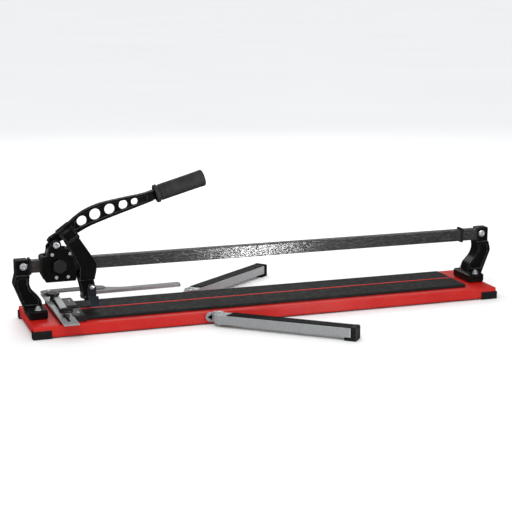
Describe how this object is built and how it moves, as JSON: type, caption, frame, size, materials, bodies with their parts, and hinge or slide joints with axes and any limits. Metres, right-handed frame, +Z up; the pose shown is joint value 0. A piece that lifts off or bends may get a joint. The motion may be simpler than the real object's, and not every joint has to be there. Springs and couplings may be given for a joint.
{
  "type": "push tile cutter",
  "caption": "Long manual tile cutter: red folded bed, guide rail on cast posts, rolling carriage with scoring wheel, breaker and lever, rip fence and swing-out support arms.",
  "frame": {"origin": "on the floor, under the middle of the bounding box, which is the middle of the bed", "axes": "+X along the bed from the parked carriage to the free end, +Y from the operator's side to the back, +Z up"},
  "size_m": [1.5148, 0.8634, 0.4345],
  "materials": {
    "red_paint": "gloss powder coat on folded steel",
    "pad_rubber": "fine matte grain",
    "black_rubber": "matte moulded rubber",
    "black_paint": "semi-gloss paint on castings",
    "black_plastic": "moulded plastic",
    "zinc_steel": "bright zinc plating",
    "roller_steel": "ground steel",
    "rail_steel": "dark phosphated steel, fine speckle",
    "grey_steel": "satin",
    "dark_steel": "dark blue-grey coat on sheet steel",
    "aluminium": "satin anodised extrusion"
  },
  "bodies": {
    "base": {"base_pan": "red_paint", "breaker_ridge": "red_paint", "pad_near": "pad_rubber", "pad_far": "pad_rubber", "corner_foot_left_near": "black_rubber", "corner_foot_left_far": "black_rubber", "corner_foot_right_near": "black_rubber", "corner_foot_right_far": "black_rubber", "bumper_ring_left": "black_rubber", "bumper_ring_right": "black_rubber", "post_left": "black_paint", "post_right": "black_paint", "rip_bar_guide": "black_paint", "post_screw_left_near": "zinc_steel", "post_screw_left_far": "zinc_steel", "post_screw_right_near": "zinc_steel", "post_screw_right_far": "zinc_steel", "rail_bolt_left": "zinc_steel", "rail_bolt_right": "zinc_steel", "stop_screw_near": "zinc_steel", "stop_screw_far": "zinc_steel", "arm_hinge_bolt_near": "zinc_steel", "arm_hinge_bolt_far": "zinc_steel", "arm_bracket_near": "zinc_steel", "arm_bracket_far": "zinc_steel", "guide_rail": "rail_steel", "stop_plate_near": "grey_steel", "stop_plate_far": "grey_steel", "tie_strap": "aluminium"},
    "carriage": {"carriage_cheek_near": "black_paint", "carriage_cheek_far": "black_paint", "hex_cap": "black_plastic", "roller_bolt_top_0": "zinc_steel", "roller_bolt_top_1": "zinc_steel", "roller_bolt_bottom_0": "zinc_steel", "roller_bolt_bottom_1": "zinc_steel"},
    "lever_group": {"lever": "black_paint", "grip": "black_rubber", "pivot_bolt": "zinc_steel", "breaker_arm_near": "black_paint", "breaker_arm_far": "black_paint", "foot_pin": "zinc_steel"},
    "foot": {"breaker_foot": "dark_steel"},
    "wheel": {"scoring_wheel": "roller_steel"},
    "arm_near": {"arm_tube_near": "aluminium", "arm_strip_near": "black_rubber", "arm_end_cap_near": "black_rubber"},
    "arm_far": {"arm_tube_far": "aluminium", "arm_strip_far": "black_rubber", "arm_end_cap_far": "black_rubber"},
    "rip_slide": {"rip_bar": "aluminium", "fence_pivot_screw": "zinc_steel"},
    "fence": {"fence_bar": "aluminium", "fence_rule": "aluminium"},
    "knob_near": {"clamp_knob_near": "black_plastic"},
    "knob_far": {"clamp_knob_far": "black_plastic"},
    "roller_top_0_body": {"roller_top_0": "roller_steel"},
    "roller_top_1_body": {"roller_top_1": "roller_steel"},
    "roller_bottom_0_body": {"roller_bottom_0": "roller_steel"},
    "roller_bottom_1_body": {"roller_bottom_1": "roller_steel"}
  },
  "joints": [
    {"name": "carriage_slide", "type": "slide", "parent": "base", "child": "carriage", "axis": [1, 0, 0], "range_m": [-0.014, 1.165]},
    {"name": "roller_top_0_spin", "type": "hinge", "parent": "carriage", "child": "roller_top_0_body", "pos_m": [-0.647, 0, 0.2163], "axis": [0, 1, 0], "continuous": true},
    {"name": "roller_top_1_spin", "type": "hinge", "parent": "carriage", "child": "roller_top_1_body", "pos_m": [-0.596, 0, 0.2163], "axis": [0, 1, 0], "continuous": true},
    {"name": "roller_bottom_0_spin", "type": "hinge", "parent": "carriage", "child": "roller_bottom_0_body", "pos_m": [-0.637, 0, 0.1492], "axis": [0, 1, 0], "continuous": true},
    {"name": "roller_bottom_1_spin", "type": "hinge", "parent": "carriage", "child": "roller_bottom_1_body", "pos_m": [-0.6035, 0, 0.1492], "axis": [0, 1, 0], "continuous": true},
    {"name": "lever_pivot", "type": "hinge", "parent": "carriage", "child": "lever_group", "pos_m": [-0.635, 0, 0.244], "axis": [0, 1, 0], "range_deg": [-16, 6.5]},
    {"name": "foot_fold", "type": "hinge", "parent": "lever_group", "child": "foot", "pos_m": [-0.5355, 0, 0.113], "axis": [0, 1, 0], "range_deg": [-78, 0]},
    {"name": "wheel_spin", "type": "hinge", "parent": "lever_group", "child": "wheel", "pos_m": [-0.555, 0, 0.085], "axis": [0, 1, 0], "continuous": true},
    {"name": "arm_near_swing", "type": "hinge", "parent": "base", "child": "arm_near", "pos_m": [-0.188, -0.156, 0.02], "axis": [0, 0, -1], "range_deg": [-40, 50]},
    {"name": "arm_far_swing", "type": "hinge", "parent": "base", "child": "arm_far", "pos_m": [-0.188, 0.156, 0.02], "axis": [0, 0, 1], "range_deg": [-38, 52]},
    {"name": "rip_bar_slide", "type": "slide", "parent": "base", "child": "rip_slide", "axis": [0, 1, 0], "range_m": [-0.032, 0.042]},
    {"name": "fence_swivel", "type": "hinge", "parent": "rip_slide", "child": "fence", "pos_m": [-0.626, 0.18, 0.0585], "axis": [0, 0, 1], "range_deg": [-38, 10]},
    {"name": "knob_near_spin", "type": "hinge", "parent": "base", "child": "knob_near", "pos_m": [-0.626, -0.097, 0.07], "axis": [0, 0, 1], "range_deg": [0, 360]},
    {"name": "knob_far_spin", "type": "hinge", "parent": "base", "child": "knob_far", "pos_m": [-0.626, 0.105, 0.07], "axis": [0, 0, 1], "range_deg": [0, 360]}
  ],
  "couplings": [
    {"joint": "roller_top_0_spin", "follows": "carriage_slide", "rad_per_m": 64.516},
    {"joint": "roller_top_1_spin", "follows": "carriage_slide", "rad_per_m": 64.516},
    {"joint": "roller_bottom_0_spin", "follows": "carriage_slide", "rad_per_m": -64.516},
    {"joint": "roller_bottom_1_spin", "follows": "carriage_slide", "rad_per_m": -64.516}
  ]
}
